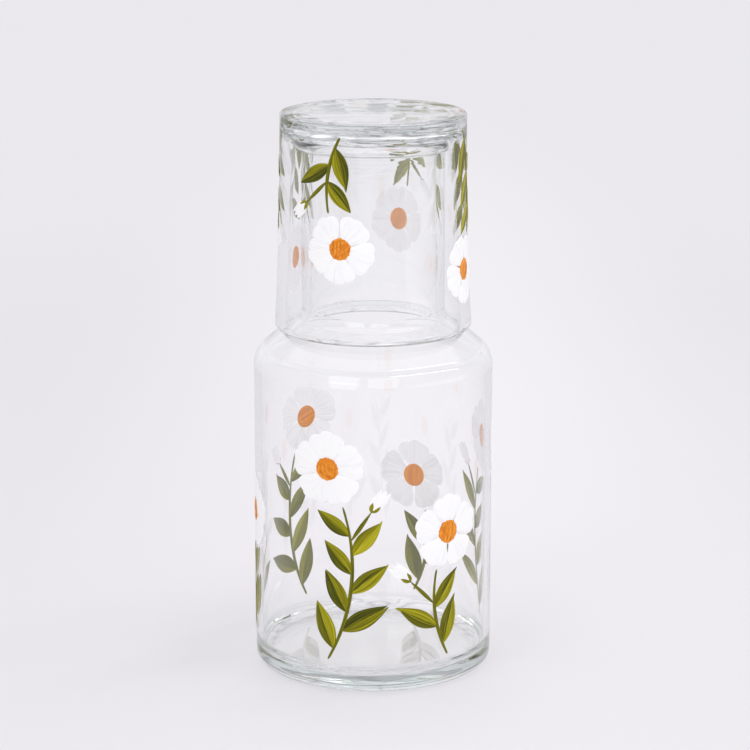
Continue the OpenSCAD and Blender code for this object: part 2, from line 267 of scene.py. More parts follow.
def spun_glass(name, outline):
    """A closed wall of glass, spun from its outline, which runs from the axis to the axis.

    Each corner of the outline is a radius, a height and the radius that rounds it."""
    bpy.ops.mesh.primitive_plane_add(size=MM)
    piece = bpy.context.object
    piece.name = name
    bpy.ops.object.mode_set(mode="EDIT")
    bpy.ops.mesh.merge(type="CENTER")
    here = (0.0, 0.0)
    for r, z, _ in outline:
        step = (r * MM - here[0], 0, z * MM - here[1])
        if here == (0.0, 0.0):
            bpy.ops.transform.translate(value=step)
        else:
            bpy.ops.mesh.extrude_region_move(TRANSFORM_OT_translate={"value": step})
        here = (r * MM, z * MM)
    for before, (r, z, rounding), after in zip(outline, outline[1:], outline[2:]):
        if rounding:
            arrive = math.atan2(z - before[1], r - before[0])
            leave = math.atan2(after[1] - z, after[0] - r)
            bend = abs((leave - arrive + math.pi) % math.tau - math.pi)
            pick(lambda point: math.dist(point.co.xz, (r * MM, z * MM)) < SAME_CORNER)
            bpy.ops.mesh.bevel(
                offset=rounding * MM * math.tan(bend / 2), segments=CURVE_STEPS, affect="VERTICES"
            )
    bpy.ops.mesh.select_all(action="SELECT")
    bpy.ops.mesh.spin(steps=TURN_STEPS, angle=math.tau, center=(0, 0, 0), axis=(0, 0, 1))
    bpy.ops.mesh.select_all(action="SELECT")
    bpy.ops.mesh.remove_doubles(threshold=SAME_POINT)
    bpy.ops.mesh.normals_make_consistent(inside=False)
    bpy.ops.object.mode_set(mode="OBJECT")
    bpy.ops.object.shade_smooth()
    add_modifier(piece, "WEIGHTED_NORMAL", mode="FACE_AREA", weight=60, keep_sharp=True)
    return piece


def dome(half_width, rise, base_z):
    """Points of a shallow dome from its middle out to its foot, as corners without rounding."""
    ball_r = (half_width**2 + rise**2) / (2 * rise)
    sweep = math.asin(half_width / ball_r)
    leans = [sweep * k / DOME_STEPS for k in range(DOME_STEPS + 1)]
    return [
        (ball_r * math.sin(lean), base_z + ball_r * math.cos(lean) - ball_r + rise, 0) for lean in leans
    ]


def shoulder_corner(wall_r, slope_top):
    """The height at which a slope of the shoulder, whose line starts on the axis at its top, meets a wall."""
    return slope_top - wall_r * math.tan(math.radians(SHOULDER_SLOPE))


OUTER_SLOPE = SLOPE_STARTS_Z + SLOPE_STARTS_R * math.tan(math.radians(SHOULDER_SLOPE))
INNER_SLOPE = OUTER_SLOPE - SHOULDER_WALL / math.cos(math.radians(SHOULDER_SLOPE))
carafe = spun_glass(
    "carafe_glass",
    dome(FOOT_R, PUNT_H, 0.0)
    + [
        (BODY_R, 0.0, HEEL_TURN),
        (BODY_R, shoulder_corner(BODY_R, OUTER_SLOPE), SHOULDER_TURN),
        (NECK_R, shoulder_corner(NECK_R, OUTER_SLOPE), NECK_TURN),
        (NECK_R, LIP_TOP - LIP_H, 0),
        (LIP_R, LIP_TOP - LIP_H, LIP_H / 2 - HAIR),
        (LIP_R, LIP_TOP, LIP_H / 2 - HAIR),
        (MOUTH_R, LIP_TOP, MOUTH_TURN),
        (MOUTH_R, shoulder_corner(MOUTH_R, INNER_SLOPE), NECK_TURN_INSIDE),
        (INSIDE_R, shoulder_corner(INSIDE_R, INNER_SLOPE), SHOULDER_TURN_INSIDE),
        (INSIDE_R, FLOOR_T, FLOOR_TURN),
    ]
    + dome(INSIDE_R - FLOOR_TURN, PUNT_H, FLOOR_T)[::-1],
)


# Painted shade in the glass's colour by how far it is seen along its surface, as a wall and as a solid edge;
# and how much passing light gets through.
THIN_WALL_SHADE = [
    (0.0, (1.0, 1.0, 1.0, 1)), (0.68, (1.0, 1.0, 1.0, 1)), (0.84, (0.94, 0.945, 0.95, 1)),
    (0.94, (0.66, 0.67, 0.68, 1)), (1.0, (0.22, 0.23, 0.23, 1)),
]
SOLID_EDGE_SHADE = [
    (0.0, (0.985, 0.99, 0.99, 1)), (0.30, (0.93, 0.95, 0.96, 1)), (0.55, (0.72, 0.75, 0.76, 1)),
    (0.75, (0.46, 0.48, 0.48, 1)), (1.0, (0.22, 0.23, 0.23, 1)),
]
PASSING = [(0.0, (1.0, 1.0, 1.0, 1)), (0.7, (0.975, 0.975, 0.975, 1)), (1.0, (0.50, 0.51, 0.51, 1))]
# The cords: where the noise of the rings passes two levels, a fine dark streak of painted shade is drawn.
CORD_SHADE = [
    (0.0, (1.0, 1.0, 1.0, 1)), (0.395, (1.0, 1.0, 1.0, 1)), (0.42, (0.04, 0.05, 0.05, 1)),
    (0.445, (1.0, 1.0, 1.0, 1)), (0.53, (1.0, 1.0, 1.0, 1)), (0.555, (0.08, 0.10, 0.10, 1)),
    (0.58, (1.0, 1.0, 1.0, 1)), (1.0, (1.0, 1.0, 1.0, 1)),
]
SOLID_FROM, SOLID_TO = 0.0035, 0.0015
UNEVEN_FROM, UNEVEN_TO, UNEVEN_GAIN = 0.010, 0.005, 1.5
RINGS_ACROSS, RING_DEPTH, LUMP_SCALE = 32.0, 0.0003, 75.0
GLASS_BODY, GLASS_DENSITY = (0.86, 0.93, 0.90, 1), 5.0


def clear_glass(
    name, ripple_scale, ripple_height, bottom, top, solid_stops, inner_turn_shade_stops, hem_shade_stops, outer_r,
    ring_scale, lump_height
):
    """Clear soda glass, with painted shade that greys it where it is seen along its surface, most along the
    edge where it is solid.

    Stops from the bottom of the piece to its top tell where it is solid near its outer radius, where its
    inside turns and takes the solid edge's painted shade, and where thin dark lines of painted shade are drawn
    across it. Solid glass also has fine rings and lumps from the mould, and is streaked with cord where it
    melted unevenly; fine dark lines of painted shade are drawn along the streaks. The painted shade stands in
    for darker surroundings reflected and bent at the glass's edges. The light of lamps and room passes
    straight through, a little darkened."""
    material, tree = new_material(name)
    place = add_node(tree, "TexCoord", {}, {})
    height = add_node(tree, "SeparateXYZ", {}, {0: place.outputs["Object"]})
    share = add_node(
        tree, "MapRange", {}, {"Value": height.outputs["Z"], "From Min": bottom, "From Max": top}
    )
    level, turned, hem_shade = (
        add_ramp(tree, share.outputs["Result"], [(at, (much, much, much, 1)) for at, much in stops])
        for stops in (solid_stops, inner_turn_shade_stops, hem_shade_stops)
    )
    flat = add_node(
        tree, "VectorMath", {"operation": "MULTIPLY"}, {0: place.outputs["Object"], 1: (1, 1, 0)}
    )
    out = add_node(tree, "VectorMath", {"operation": "LENGTH"}, {0: flat.outputs["Vector"]})
    edge = add_step(tree, out.outputs["Value"], outer_r - SOLID_FROM, outer_r - SOLID_TO)
    solid = add_node(tree, "Math", {"operation": "MULTIPLY"}, {0: level, 1: edge})
    turn_in = add_step(tree, out.outputs["Value"], outer_r - UNEVEN_FROM, outer_r - UNEVEN_TO)
    uneven = add_node(tree, "Math", {"operation": "MULTIPLY"}, {0: level, 1: turn_in})
    relief = add_node(
        tree, "Math", {"operation": "MULTIPLY", "use_clamp": True},
        {0: uneven.outputs["Value"], 1: UNEVEN_GAIN},
    )
    ripple = add_node(
        tree, "TexNoise", {}, {"Vector": place.outputs["Object"], "Scale": ripple_scale, "Detail": 1.5}
    )
    waves = add_node(
        tree, "Bump", {}, {"Height": ripple.outputs["Fac"], "Distance": ripple_height, "Strength": 1.0}
    )
    stretched = add_node(
        tree, "VectorMath", {"operation": "MULTIPLY"},
        {0: place.outputs["Object"], 1: (RINGS_ACROSS, RINGS_ACROSS, ring_scale)},
    )
    rings = add_node(
        tree, "TexNoise", {}, {"Vector": stretched.outputs["Vector"], "Scale": 1.0, "Detail": 1.0}
    )
    ringed = add_node(
        tree, "Bump", {},
        {
            "Height": rings.outputs["Fac"], "Distance": RING_DEPTH, "Strength": relief.outputs["Value"],
            "Normal": waves.outputs["Normal"],
        },
    )
    lumps = add_node(
        tree, "TexNoise", {}, {"Vector": place.outputs["Object"], "Scale": LUMP_SCALE, "Detail": 0.5}
    )
    bump = add_node(
        tree, "Bump", {},
        {
            "Height": lumps.outputs["Fac"], "Distance": lump_height, "Strength": relief.outputs["Value"],
            "Normal": ringed.outputs["Normal"],
        },
    )
    # Painted shade: the glass's colour greys towards its edges by how far it is seen along its surface, more
    # where it is solid or turns inside.
    slant = add_node(tree, "LayerWeight", {}, {"Blend": 0.5})
    thin = add_ramp(tree, slant.outputs["Facing"], THIN_WALL_SHADE)
    thick = add_ramp(tree, slant.outputs["Facing"], SOLID_EDGE_SHADE)
    edge_shade_mask = add_node(tree, "Math", {"operation": "MAXIMUM"}, {0: solid.outputs["Value"], 1: turned})
    plain = add_node(
        tree, "Mix", {"data_type": "RGBA"}, {0: edge_shade_mask.outputs["Value"], 6: thin, 7: thick}
    ).outputs[2]
    # Painted shade: thin dark lines drawn across the glass at the stops given.
    edge_and_hem_shade = add_product(tree, 1.0, plain, hem_shade)
    # Painted shade: fine dark streaks along the cord lines, in the solid glass only.
    cord_shade = add_ramp(tree, rings.outputs["Fac"], CORD_SHADE)
    painted_glass_shade = add_product(tree, uneven.outputs["Value"], edge_and_hem_shade, cord_shade)
    glass = add_node(
        tree, "BsdfPrincipled", {},
        {
            "Base Color": painted_glass_shade, "Roughness": 0.0, "IOR": 1.5, "Transmission Weight": 1.0,
            "Normal": bump.outputs["Normal"],
        },
    )
    dimming = add_ramp(tree, slant.outputs["Facing"], PASSING)
    straight = add_node(tree, "BsdfTransparent", {}, {"Color": dimming})
    ray = add_node(tree, "LightPath", {}, {})
    lighting = add_node(
        tree, "Math", {"operation": "MAXIMUM"},
        {0: ray.outputs["Is Shadow Ray"], 1: ray.outputs["Is Diffuse Ray"]},
    )
    both = add_node(
        tree, "MixShader", {},
        {0: lighting.outputs["Value"], 1: glass.outputs["BSDF"], 2: straight.outputs["BSDF"]},
    )
    body = add_node(tree, "VolumeAbsorption", {}, {"Color": GLASS_BODY, "Density": GLASS_DENSITY})
    add_node(
        tree, "OutputMaterial", {}, {"Surface": both.outputs["Shader"], "Volume": body.outputs["Volume"]}
    )
    return material


carafe.data.materials.append(
    clear_glass(
        "carafe_clear_glass", ripple_scale=28.0, ripple_height=0.00006, bottom=0.0, top=LIP_TOP * MM,
        solid_stops=[(0.0, 0.5), (0.035, 0.5), (0.055, 0.0), (1.0, 0.0)],
        inner_turn_shade_stops=[(0.0, 0.0), (0.040, 0.0), (0.044, 0.7), (0.054, 0.7), (0.060, 0.0), (1.0, 0.0)],
        hem_shade_stops=[(0.0, 1.0), (1.0, 1.0)],
        outer_r=BODY_R * MM, ring_scale=240.0, lump_height=0.0003,
    )
)
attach(carafe, "carafe")
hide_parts("carafe")


# The tumbler: pressed clear glass with a solid flat base, a slightly flared wall and a rim melted round in
# the fire. It is turned over the neck, and its rim rests on the shoulder.
TUMBLER_TOP = 197.43
TUMBLER_R, TUMBLER_FLARE, TUMBLER_WALL, TUMBLER_HEEL = 32.4, 2.0, 3.6, 1.2
TUMBLER_RIM_Z, DISH_R, DISH_H, TUMBLER_FLOOR, TUMBLER_TURN = 75.7, 25.0, 0.9, 4.2, 3.3
RIM_R, RIM_TURN = TUMBLER_R + TUMBLER_FLARE, TUMBLER_WALL / 2
FLARE_Z = TUMBLER_FLOOR + TUMBLER_TURN
WALL_STEPS, FLARE_LATER = 10, 0.5


def flared(base_r, from_z, to_z):
    """Corners up the wall, which rises upright past the turn inside it and then flares out to the rim."""
    whole = (TUMBLER_RIM_Z - RIM_TURN - FLARE_Z) ** 2
    heights = [from_z + (to_z - from_z) * k / WALL_STEPS for k in range(WALL_STEPS + 1)]
    return [(base_r + TUMBLER_FLARE * (z - FLARE_Z) ** 2 / whole, z, 0) for z in heights]


upright = (
    dome(DISH_R, DISH_H, 0.0)
    + [(TUMBLER_R, 0.0, TUMBLER_HEEL)]
    + flared(TUMBLER_R, FLARE_Z, TUMBLER_RIM_Z - RIM_TURN)
    + [(RIM_R, TUMBLER_RIM_Z, RIM_TURN - HAIR), (RIM_R - TUMBLER_WALL, TUMBLER_RIM_Z, RIM_TURN - HAIR)]
    + flared(TUMBLER_R - TUMBLER_WALL, TUMBLER_RIM_Z - RIM_TURN, FLARE_Z + FLARE_LATER)
    + [(TUMBLER_R - TUMBLER_WALL, TUMBLER_FLOOR, TUMBLER_TURN), (0.0, TUMBLER_FLOOR, 0)]
)
tumbler = spun_glass("tumbler_glass", [(r, TUMBLER_TOP - z, rounding) for r, z, rounding in upright])
tumbler.data.materials.append(
    clear_glass(
        "tumbler_clear_glass", ripple_scale=36.0, ripple_height=0.00004,
        bottom=(TUMBLER_TOP - TUMBLER_RIM_Z) * MM, top=TUMBLER_TOP * MM,
        solid_stops=[
            (0.0, 0.4), (0.018, 0.4), (0.035, 0.0), (0.68, 0.0), (0.88, 0.16), (0.925, 0.75), (1.0, 0.75)
        ],
        inner_turn_shade_stops=[(0.0, 0.0), (0.88, 0.0), (0.90, 1.0), (0.945, 1.0), (0.955, 0.0), (1.0, 0.0)],
        # Painted shade: a thin dark line along the rim, and another just under the top of the base.
        hem_shade_stops=[
            (0.0, 0.06), (0.006, 0.3), (0.013, 1.0), (0.965, 1.0), (0.975, 0.5), (0.984, 1.0), (1.0, 1.0)
        ],
        outer_r=TUMBLER_R * MM, ring_scale=420.0, lump_height=0.0026,
    )
)
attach(tumbler, "tumbler")
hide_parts("tumbler")


# The foliage on the carafe: olive green enamel, one long pull of the brush for each stem and two for each
# leaf, darker on one side than the other, laid on the cold glass and fired on.
BODY_SPRIGS, BODY_AROUND, BODY_FOOT = 6, -22.0, 11.96
BODY_STEMS = (68.48, 44.56)
BODY_BLOSSOM, BODY_EYE = 27.0, 8.5
BODY_LEAF_L, BODY_LEAF_W, BODY_BUD = 19.0, 7.5, 9.0
STEM_BULGE, STEM_W, STALK_W, UNDER_BUD = 0.13, 1.3, 1.425, 1.0
FIRST_LEAF, LEAF_STEP, LEAF_TAPER, TOP_LEAF_ROOM, LEAF_LEAN = 0.22, 0.36, 0.3, 0.35, 42.0
STALK_DROP, STALK_L, STALK_LEAN = 1.3, 1.4, -40.0
STEM_THIN, STEM_BELLY, BELLY_EARLY, THINNER_UP = 0.62, 0.5, 1.15, 0.3
STEM_FOOT, STEM_TIP, STEM_BLUNT, UNDER_BLOSSOM = 0.02, 0.03, 0.002, 0.6
HALF_SHADES, HALF_W, LAYER = ((-0.22, 0.15), (0.22, 0.45)), 0.56, 0.04
SEPAL_LEAN, SEPAL_L, SEPAL_W = 24, 0.42, 0.2
LEAF_FINE, LEAF_EARLY, LEAF_FULL, LEAF_THINNER = 0.04, 0.85, 0.9, 0.12
HALF_OUT, HALF_EARLY, BLADE_FINE, BLADE_EARLY = 0.34, 0.9, 0.03, 0.8
LEAF_SIZES, LEAF_SWAY, HALF_SIZES, HALF_SWAY = (0.94, 1.03), 4, (0.95, 1.0), 1.5
MARK_START, MARK_END, FURROW, THIN_EDGE = 0.1, 0.06, 0.3, 0.3
BRISTLE_SCALE, STROKES_APART = (9.0, 0.9, 1.0), 60.0
FACING_IN, CREASE = 0.5, 50
# In metres: how far in front of the axis the easel stands, and how the paint lies on the glass.
EASEL = 0.08
UNDERSIDE, CROWN, LIFT = -0.00008, 0.0003, 0.00006


def turn(angle, axis, centre=(0, 0, 0)):
    """Turns what is selected by the right-hand rule. With no window, the operator counts the other way."""
    bpy.ops.transform.rotate(value=-angle, orient_axis=axis, center_override=centre)


def take(*pieces):
    """Selects only these objects, the first one active."""
    bpy.ops.object.select_all(action="DESELECT")
    for piece in pieces:
        piece.select_set(True)
    bpy.context.view_layer.objects.active = pieces[0]


def brush_mark(name, half_width, spine, bristles, columns, rows):
    """One mark of a brush, flat on the easel: a grid whose rows are laid along its spine, each at its width.

    Its crown says how thick the paint lies: full in the middle, thin at the sides and both ends, and furrowed
    by the bristles."""
    bpy.ops.mesh.primitive_grid_add(
        x_subdivisions=columns, y_subdivisions=rows, size=1.0, rotation=(math.pi / 2, 0, 0)
    )
    mark = bpy.context.object
    mark.name = name
    bpy.ops.object.transform_apply(location=True, rotation=True, scale=True)
    bpy.ops.object.mode_set(mode="EDIT")
    weights = []
    for row in range(rows + 1):
        along = 0.5 - 0.5 * math.cos(math.pi * row / rows)
        x, z, heading = spine(along)
        middle = row / rows - 0.5
        pick(lambda point: point.index // (columns + 1) == row)
        bpy.ops.transform.resize(value=(2 * half_width(along), 1, 1), center_override=(0, 0, middle))
        turn(-heading, "Y", (0, 0, middle))
        bpy.ops.transform.translate(value=(x, 0, z - middle))
        ends = min(1.0, along / MARK_START, (1.0 - along) / MARK_END)
        weights += [
            ends * (1 - abs(2 * column / columns - 1) ** 3) * (1 - FURROW * bristles.random())
            for column in range(columns + 1)
        ]
    bpy.ops.object.mode_set(mode="OBJECT")
    crown = mark.vertex_groups.new(name="crown")
    for index, weight in enumerate(weights):
        crown.add([index], weight, "REPLACE")
    return mark


def add_values(stroke, tone, lift):
    """Gives all points of a stroke its tone and how far it lies over the others."""
    points = len(stroke.data.vertices)
    stroke.data.attributes.new("tone", "FLOAT", "POINT").data.foreach_set("value", [tone] * points)
    stroke.vertex_groups.new(name="lift").add(range(points), lift, "REPLACE")


def lay(mark, x, z, heading, length, width, tone, lift):
    """Lays a copy of a mark on the easel. Heading is counted anticlockwise from straight up, in degrees."""
    take(mark)
    bpy.ops.object.duplicate()
    stroke = bpy.context.object
    bpy.ops.transform.resize(value=(width * MM, 1, length * MM), center_override=(0, 0, 0))
    turn(-math.radians(heading), "Y")
    bpy.ops.transform.translate(value=(x * MM, 0, z * MM))
    add_values(stroke, tone, lift)
    return stroke


def joined(strokes, name):
    """Makes one object of several, its place in its mesh."""
    take(*strokes)
    if len(strokes) > 1:
        bpy.ops.object.join()
    bpy.ops.object.transform_apply(location=True, rotation=True, scale=True)
    bpy.context.object.name = name
    return bpy.context.object


def fire_on(drawing, glass, foot_z, around, hanging, depth):
    """Wraps a drawing on the front of the glass, gives the paint its body, and turns it to its place.

    Each colour has its own depth in the glass, so that no two undersides lie in one surface."""
    take(drawing)
    if hanging:
        turn(math.pi, "Y")
    bpy.ops.transform.translate(value=(0, -EASEL, foot_z * MM))
    bpy.ops.object.transform_apply(location=True, rotation=True, scale=True)
    add_modifier(
        drawing, "SHRINKWRAP", target=glass, wrap_method="PROJECT", use_project_y=True,
        use_positive_direction=True, use_negative_direction=False, offset=UNDERSIDE + depth,
    )
    add_modifier(drawing, "DISPLACE", direction="NORMAL", strength=LIFT, mid_level=0.0, vertex_group="lift")
    add_modifier(
        drawing, "SOLIDIFY", thickness=CROWN, offset=1.0, vertex_group="crown",
        thickness_vertex_group=THIN_EDGE,
    )
    turn(math.radians(around), "Z")
    bpy.ops.object.transform_apply(location=True, rotation=True, scale=True)


def finish_paint(parts, name, face, underside):
    """Joins the fired drawings into one piece.

    Its faces towards the axis, which show through the glass, have the underside's colour."""
    piece = joined(parts, name)
    piece.data.materials.clear()
    piece.data.materials.append(face)
    piece.data.materials.append(underside)
    bpy.ops.object.mode_set(mode="EDIT")
    bpy.ops.mesh.select_mode(type="FACE")
    bpy.ops.mesh.select_all(action="DESELECT")
    shell = bmesh.from_edit_mesh(piece.data)
    for side in shell.faces:
        middle = side.calc_center_median()
        outward = side.normal.x * middle.x + side.normal.y * middle.y
        side.select = outward < -FACING_IN * math.hypot(middle.x, middle.y)
    bmesh.update_edit_mesh(piece.data)
    piece.active_material_index = 1
    bpy.ops.object.material_slot_assign()
    bpy.ops.mesh.select_mode(type="VERT")
    bpy.ops.object.mode_set(mode="OBJECT")
    bpy.ops.object.shade_smooth_by_angle(angle=math.radians(CREASE))
    return piece


def stem_point(height, z, side):
    """Where a stem is at a height, and its heading there. It is an arc that leans out to one side."""
    bulge = STEM_BULGE * height
    arc_r = (height**2 / 4 + bulge**2) / (2 * bulge)
    lean = math.asin((z - height / 2) / arc_r)
    return side * (arc_r * math.cos(lean) - arc_r + bulge), side * math.degrees(lean)


def stalk_foot(stem_h, blossom_d, bud_l, side):
    """Where the bud's stalk leaves the stem, and its heading."""
    z = stem_h - blossom_d / 2 - STALK_DROP * bud_l
    x, heading = stem_point(stem_h, z, side)
    return x, z, heading + side * STALK_LEAN


def stalk_tip(x, z, heading, bud_l):
    """Where the bud sits on its stalk."""
    away = math.radians(heading)
    return x - STALK_L * bud_l * math.sin(away), z + STALK_L * bud_l * math.cos(away)


def stem_mark(name, height, top, side, brush):
    """The one long pull of the brush for a stem, thin at the foot, fuller half way and thin at the top."""

    def spine(along):
        x, heading = stem_point(height, top * along, side)
        return x * MM, top * along * MM, math.radians(heading)

    def half_width(along):
        belly = math.sin(math.pi * min(1.0, along * BELLY_EARLY)) * (1 - THINNER_UP * along)
        foot, tip = along / STEM_FOOT, (1 - along) / STEM_TIP
        ends = min(1.0, math.sqrt(foot + STEM_BLUNT), math.sqrt(tip + STEM_BLUNT))
        return 0.5 * STEM_W * MM * (STEM_THIN + STEM_BELLY * belly) * ends

    return brush_mark(name, half_width, spine, brush, columns=4, rows=40)


def leaf_half(name, side, brush):
    """Half a leaf: starts fine at the stalk, presses out to one side and lifts off in a point."""

    def half_width(along):
        belly = math.sin(math.pi * along**LEAF_EARLY) ** LEAF_FULL
        return 0.5 * (LEAF_FINE + (1 - LEAF_FINE) * belly) * (1 - LEAF_THINNER * along)

    def spine(along):
        return side * HALF_OUT * math.sin(math.pi * along**HALF_EARLY), along, 0.0

    return brush_mark(name, half_width, spine, brush, columns=6, rows=16)


def blade(name, brush):
    """A plain pointed mark, as broad in the middle as it is given."""

    def half_width(along):
        return 0.5 * (BLADE_FINE + (1 - BLADE_FINE) * math.sin(math.pi * along**BLADE_EARLY))

    return brush_mark(name, half_width, lambda along: (0.0, along, 0.0), brush, columns=5, rows=12)


def draw_foliage(i, stem_h, blossom_d, leaf_l, leaf_w, bud_l, marks, brush):
    """The green of sprig i: stem, leaves on both its sides, the bud's stalk and the bud's two sepals."""
    side = 1 if i % 2 == 0 else -1
    left_half, right_half, fine = marks
    stem = stem_mark("stem", stem_h, stem_h - blossom_d / 2 + UNDER_BLOSSOM, side, brush)
    add_values(stem, tone=brush.uniform(0.3, 0.5), lift=0.9)
    strokes = [stem]
    first, step = FIRST_LEAF * leaf_l, LEAF_STEP * leaf_l
    last = stem_h - blossom_d / 2 - TOP_LEAF_ROOM * leaf_l
    for k in range(max(1, int((last - first) / step)) + 1):
        z = first + k * step
        size = (1 - LEAF_TAPER * z / stem_h) * brush.uniform(*LEAF_SIZES)
        x, heading = stem_point(stem_h, z, side)
        heading += side * LEAF_LEAN * (1 if k % 2 == 0 else -1) + brush.uniform(-LEAF_SWAY, LEAF_SWAY)
        tone = brush.random()
        for half, (shade, lift) in zip((left_half, right_half), HALF_SHADES):
            strokes.append(
                lay(
                    half, x, z,
                    heading=heading + brush.uniform(-HALF_SWAY, HALF_SWAY),
                    length=size * leaf_l * brush.uniform(*HALF_SIZES),
                    width=HALF_W * size * leaf_w,
                    tone=min(1.0, max(0.0, tone * 0.6 + 0.2 + shade)),
                    lift=lift + LAYER * (k % 3),
                )
            )
    x, z, heading = stalk_foot(stem_h, blossom_d, bud_l, side)
    strokes.append(
        lay(fine, x, z, heading, STALK_L * bud_l + UNDER_BUD, STALK_W, tone=0.35, lift=0.7)
    )
    x, z = stalk_tip(x, z, heading, bud_l)
    for lean in (-SEPAL_LEAN, SEPAL_LEAN):
        strokes.append(
            lay(fine, x, z, heading + lean, SEPAL_L * bud_l, SEPAL_W * bud_l, tone=0.55, lift=1.0)
        )
    return joined(strokes, "foliage_drawing")


def enamel(name, stops, roughness, streak_height, tone_share):
    """Fired enamel. Its colour runs with the bristles and with the tone that each stroke was given."""
    material, tree = new_material(name)
    along = add_node(tree, "UVMap", {}, {})
    place = add_node(tree, "TexCoord", {}, {})
    stretched = add_node(tree, "Mapping", {}, {"Vector": along.outputs["UV"], "Scale": BRISTLE_SCALE})
    far_apart = add_node(
        tree, "Mapping", {}, {"Vector": place.outputs["Object"], "Scale": (STROKES_APART,) * 3}
    )
    shifted = add_node(
        tree, "VectorMath", {"operation": "ADD"},
        {0: stretched.outputs["Vector"], 1: far_apart.outputs["Vector"]},
    )
    streaks = add_node(
        tree, "TexNoise", {},
        {"Vector": shifted.outputs["Vector"], "Scale": 1.0, "Detail": 3.0, "Roughness": 0.6},
    )
    bristles = add_node(
        tree, "MapRange", {}, {"Value": streaks.outputs["Fac"], "From Min": 0.3, "From Max": 0.7}
    )
    tone = add_node(tree, "Attribute", {"attribute_name": "tone"}, {})
    mixed = add_node(
        tree, "Mix", {"data_type": "FLOAT"},
        {0: tone_share, 2: bristles.outputs["Result"], 3: tone.outputs["Fac"]},
    )
    colour = add_ramp(tree, mixed.outputs[0], stops)
    bump = add_node(
        tree, "Bump", {}, {"Height": streaks.outputs["Fac"], "Distance": streak_height, "Strength": 0.6}
    )
    paint = add_node(
        tree, "BsdfPrincipled", {},
        {
            "Base Color": colour, "Roughness": roughness, "Specular IOR Level": 0.15,
            "Normal": bump.outputs["Normal"],
        },
    )
    add_node(tree, "OutputMaterial", {}, {"Surface": paint.outputs["BSDF"]})
    return material


OLIVE = [
    (0.20, (0.033, 0.042, 0.0012, 1)),
    (0.40, (0.125, 0.122, 0.002, 1)),
    (0.60, (0.31, 0.285, 0.006, 1)),
    (0.85, (0.52, 0.47, 0.02, 1)),
]
OLIVE_UNDER = [(0.1, (0.06, 0.07, 0.004, 1)), (0.5, (0.19, 0.19, 0.012, 1)), (0.9, (0.42, 0.39, 0.045, 1))]
green_face = enamel("olive_enamel", OLIVE, roughness=0.38, streak_height=0.00008, tone_share=0.5)
green_under = enamel(
    "olive_enamel_underside", OLIVE_UNDER, roughness=0.5, streak_height=0.00003, tone_share=0.5
)
brush = random.Random(11)
leaf_marks = (
    leaf_half("leaf_left", -1, brush), leaf_half("leaf_right", 1, brush), blade("fine_blade", brush)
)
drawings = []
for i in range(BODY_SPRIGS):
    drawing = draw_foliage(
        i, BODY_STEMS[i % 2], BODY_BLOSSOM, BODY_LEAF_L, BODY_LEAF_W, BODY_BUD, leaf_marks, brush
    )
    around = BODY_AROUND + i * 360 / BODY_SPRIGS
    fire_on(drawing, carafe, BODY_FOOT, around, hanging=False, depth=-0.00001)
    drawings.append(drawing)
foliage = finish_paint(drawings, "carafe_green_strokes", green_face, green_under)
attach(foliage, "carafe")
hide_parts("carafe_foliage")


# The blossoms and buds on the carafe: opaque white enamel, each lobe a fan of three full strokes from the
# eye outwards, thick along the middle and thin at the edges, fired on to the glass.
LOBES, FAN = 5, 19.0
FAN_STROKES = ((-FAN, 0.965, 0.1), (FAN, 0.96, 0.35), (0, 1.0, 0.75))
BUD_STROKES = ((-11, 0.34, 0.2), (11, 0.34, 0.4), (0, 0.42, 0.7))
PETAL_W, UNDER_EYE, PETAL_SWAY, PETAL_SIZES = 0.225, 0.35, 2, (0.965, 1.0)
PETAL_NARROW, PETAL_PRESSED, PETAL_LIFTS = 0.36, 0.66, 0.74
PETAL_START, PETAL_BLUNT, LEAST_W = 0.05, 0.01, 0.02


def petal_mark(name, brush):
    """A petal's stroke: starts narrow by the eye, is pressed out broad and lifted off round."""

    def half_width(along):
        press = min(1.0, along / PETAL_PRESSED)
        broad = PETAL_NARROW + (1 - PETAL_NARROW) * press * press * (3 - 2 * press)
        lifted = max(0.0, along - PETAL_LIFTS) / (1 - PETAL_LIFTS)
        round_end = math.sqrt(max(0.0, 1 - lifted**2))
        round_start = math.sqrt(min(1.0, along / PETAL_START + PETAL_BLUNT))
        return 0.5 * max(LEAST_W, broad * round_end * round_start)

    return brush_mark(name, half_width, lambda along: (0.0, along, 0.0), brush, columns=8, rows=16)


def draw_white(i, stem_h, blossom_d, eye_d, bud_l, marks, brush):
    """The white of sprig i: a blossom of five lobes round the eye's place, and the bud beside it."""
    side = 1 if i % 2 == 0 else -1
    petals, fine = marks
    inner, outer = eye_d / 2 - UNDER_EYE, blossom_d / 2
    strokes = []
    for lobe in range(LOBES):
        middle = side * lobe * 360 / LOBES + brush.uniform(-PETAL_SWAY, PETAL_SWAY)
        for fan, reach, lift in FAN_STROKES:
            heading = middle + fan + brush.uniform(-PETAL_SWAY, PETAL_SWAY)
            away = math.radians(heading)
            strokes.append(
                lay(
                    petals[brush.randrange(len(petals))],
                    -inner * math.sin(away), stem_h + inner * math.cos(away), heading,
                    length=outer * reach * brush.uniform(*PETAL_SIZES) - inner,
                    width=PETAL_W * blossom_d,
                    tone=brush.uniform(0.25, 1.0),
                    lift=lift + LAYER * lobe,
                )
            )
    x, z, heading = stalk_foot(stem_h, blossom_d, bud_l, side)
    x, z = stalk_tip(x, z, heading, bud_l)
    for lean, width, lift in BUD_STROKES:
        tone = brush.uniform(0.3, 0.9)
        strokes.append(lay(fine, x, z, heading + lean, bud_l, width * bud_l, tone, lift))
    return joined(strokes, "white_drawing")


